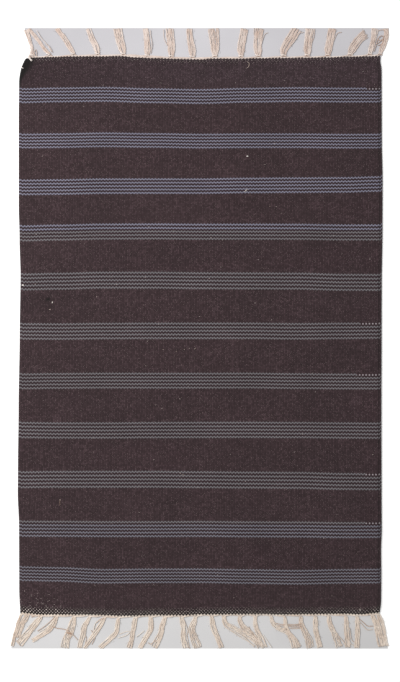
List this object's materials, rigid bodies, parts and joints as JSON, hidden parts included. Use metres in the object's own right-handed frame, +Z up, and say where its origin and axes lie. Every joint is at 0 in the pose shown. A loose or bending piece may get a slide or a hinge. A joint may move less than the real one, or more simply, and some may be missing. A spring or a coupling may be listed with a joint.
{
  "type": "kilim rug",
  "caption": "Small flat-woven rectangular rug with fine stripe bands across it and a gathered fringe of its own warp at both ends, lying flat.",
  "frame": {"origin": "on the floor, under the middle of the whole rug with its fringes", "axes": "+X across the rug, +Y along its length towards the end with the wider bundles of fringe, +Z up out of its upper face"},
  "size_m": [0.6277, 1.0348, 0.0061],
  "materials": {
    "woven_cloth": "matte",
    "warp_yarn": "matte"
  },
  "bodies": {
    "root": {"rug_cloth": "woven_cloth", "fringe_far": "warp_yarn", "fringe_near": "warp_yarn"}
  },
  "joints": []
}
